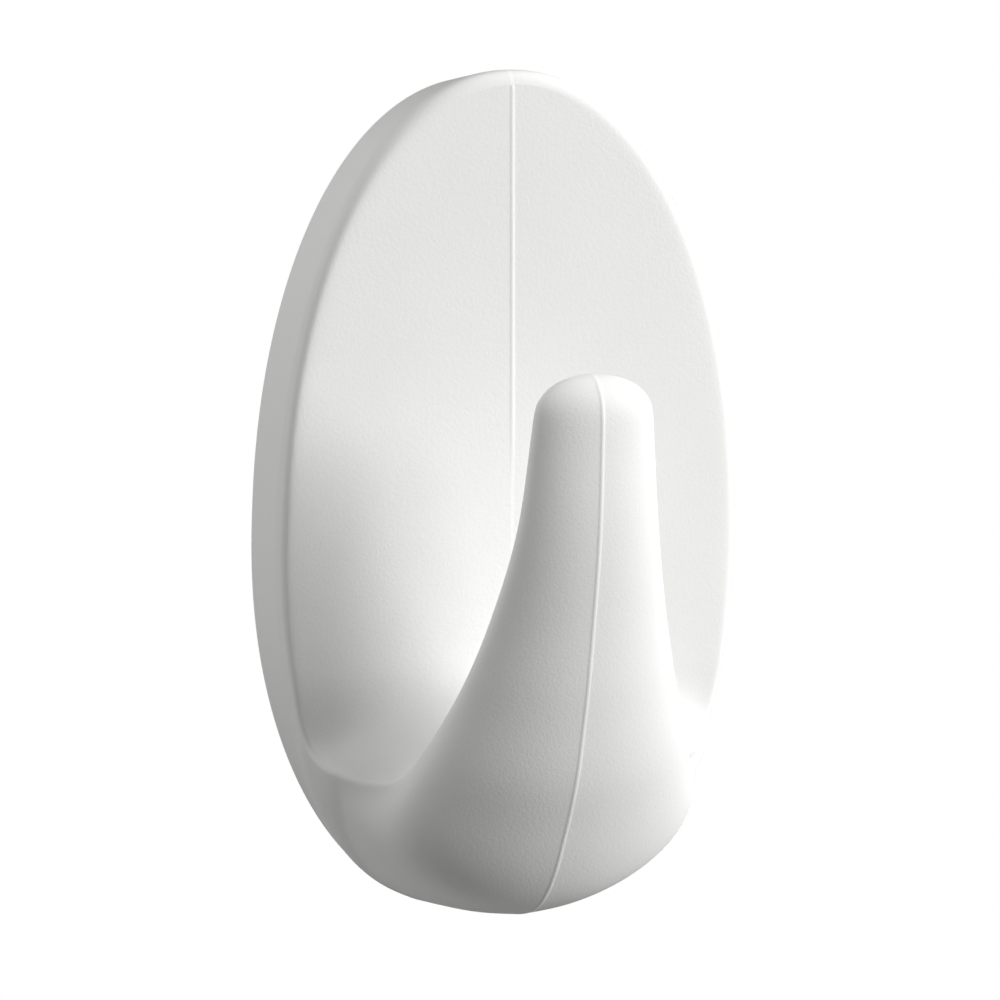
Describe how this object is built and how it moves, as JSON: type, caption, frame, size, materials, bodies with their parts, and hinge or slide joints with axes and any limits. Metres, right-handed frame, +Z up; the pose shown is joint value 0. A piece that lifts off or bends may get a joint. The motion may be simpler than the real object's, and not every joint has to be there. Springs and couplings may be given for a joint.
{
  "type": "adhesive wall hook",
  "caption": "Oval moulded wall hook with an upturned prong that lifts off a flat base plate, which a stretch-release adhesive strip with a pull tab holds to the wall.",
  "frame": {"origin": "on the wall, behind the middle of the oval body's height, in the plane of symmetry", "axes": "+Z up along the wall, +Y into the wall, the prong points out along -Y, +X to the right seen from the front"},
  "size_m": [0.0388, 0.0233, 0.0656],
  "materials": {
    "hook_plastic": "white, fine spark-eroded grain",
    "plate_plastic": "white, plain moulded",
    "strip_foam": "off-white foam with a tacky skin",
    "tab_film": "thin clear film"
  },
  "bodies": {
    "base": {"base_plate": "plate_plastic", "adhesive_strip": "strip_foam", "tab_film_front": "tab_film", "tab_film_wall": "tab_film"},
    "hook": {"hook_shell": "hook_plastic"}
  },
  "joints": [
    {"name": "hook_lift", "type": "slide", "parent": "base", "child": "hook", "axis": [0, 0, 1], "range_m": [0, 0.005]}
  ]
}
